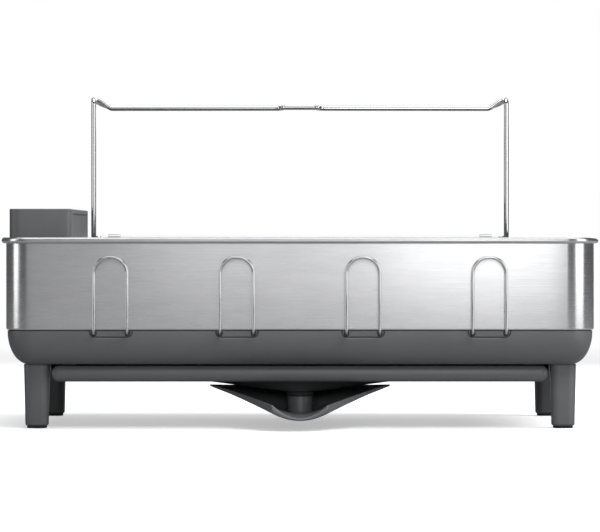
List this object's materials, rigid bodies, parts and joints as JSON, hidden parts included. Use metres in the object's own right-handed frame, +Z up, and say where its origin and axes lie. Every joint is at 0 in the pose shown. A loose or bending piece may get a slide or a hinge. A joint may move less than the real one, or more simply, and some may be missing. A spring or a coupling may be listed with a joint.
{
  "type": "dish drying rack",
  "caption": "Countertop dish drying rack: steel band on a plastic base with legs, slide-out drip tray, swivelling spout, fold-back glass holder, cutlery caddy and cup loops.",
  "frame": {"origin": "centre of the overall box at the surface that the rack stands on", "axes": "+X to the right along the width, +Y to the back, +Z up; the front, with the cup loops and the spout, faces -Y"},
  "size_m": [0.5642, 0.3944, 0.3214],
  "materials": {
    "band_steel": "stainless sheet brushed along its length",
    "wire_chrome": "polished stainless wire",
    "bracket_steel": "satin stamped steel",
    "screw_steel": "satin steel",
    "base_plastic": "cool dark grey moulded plastic, satin",
    "tray_plastic": "cool dark grey moulded plastic, satin",
    "caddy_plastic": "cool dark grey moulded plastic, fine texture",
    "pad_rubber": "matt black rubber",
    "seal_rubber": "matt black rubber"
  },
  "bodies": {
    "rack": {"base_tub": "base_plastic", "cup_loop_1": "wire_chrome", "cup_loop_2": "wire_chrome", "cup_loop_3": "wire_chrome", "cup_loop_4": "wire_chrome", "foot_pad_front_left": "pad_rubber", "foot_pad_front_right": "pad_rubber", "foot_pad_rear_left": "pad_rubber", "foot_pad_rear_right": "pad_rubber", "hinge_bracket_left": "bracket_steel", "hinge_bracket_right": "bracket_steel", "leg_front_left": "base_plastic", "leg_front_right": "base_plastic", "leg_rear_left": "base_plastic", "leg_rear_right": "base_plastic", "leg_screw_front_left": "screw_steel", "leg_screw_front_right": "screw_steel", "leg_screw_rear_left": "screw_steel", "leg_screw_rear_right": "screw_steel", "steel_band": "band_steel", "tray_rail_left": "tray_plastic", "tray_rail_right": "tray_plastic"},
    "drip_tray": {"drip_tray": "tray_plastic", "drain_seal": "seal_rubber", "spout_snap_ring": "screw_steel"},
    "spout": {"spout": "tray_plastic"},
    "caddy": {"caddy_body": "caddy_plastic", "caddy_divider_1": "caddy_plastic", "caddy_divider_2": "caddy_plastic", "knife_insert": "caddy_plastic"},
    "glass_holder": {"holder_frame": "wire_chrome", "holder_rail_left": "wire_chrome", "holder_rail_right": "wire_chrome"},
    "plate_rack": {"plate_cross_1": "wire_chrome", "plate_cross_2": "wire_chrome", "plate_cross_3": "wire_chrome", "plate_cross_4": "wire_chrome", "plate_cross_5": "wire_chrome", "plate_foot_front_left": "pad_rubber", "plate_foot_front_right": "pad_rubber", "plate_foot_rear_left": "pad_rubber", "plate_foot_rear_right": "pad_rubber", "plate_frame": "wire_chrome", "plate_tines_front": "wire_chrome", "plate_tines_rear": "wire_chrome"}
  },
  "joints": [
    {"name": "glass_holder_fold", "type": "hinge", "parent": "rack", "child": "glass_holder", "pos_m": [0, 0.1858, 0.1796], "axis": [-1, 0, 0], "range_deg": [0, 145]},
    {"name": "drip_tray_slide", "type": "slide", "parent": "rack", "child": "drip_tray", "axis": [0, -1, 0], "range_m": [0, 0.28]},
    {"name": "spout_swivel", "type": "hinge", "parent": "drip_tray", "child": "spout", "pos_m": [0, -0.0772, 0.0288], "axis": [0, 0, 1], "range_deg": [-95, 95]},
    {"name": "caddy_lift", "type": "slide", "parent": "rack", "child": "caddy", "axis": [0, 0, 1], "range_m": [0, 0.12]},
    {"name": "plate_rack_lift", "type": "slide", "parent": "rack", "child": "plate_rack", "axis": [0, 0, 1], "range_m": [0, 0.11]}
  ]
}
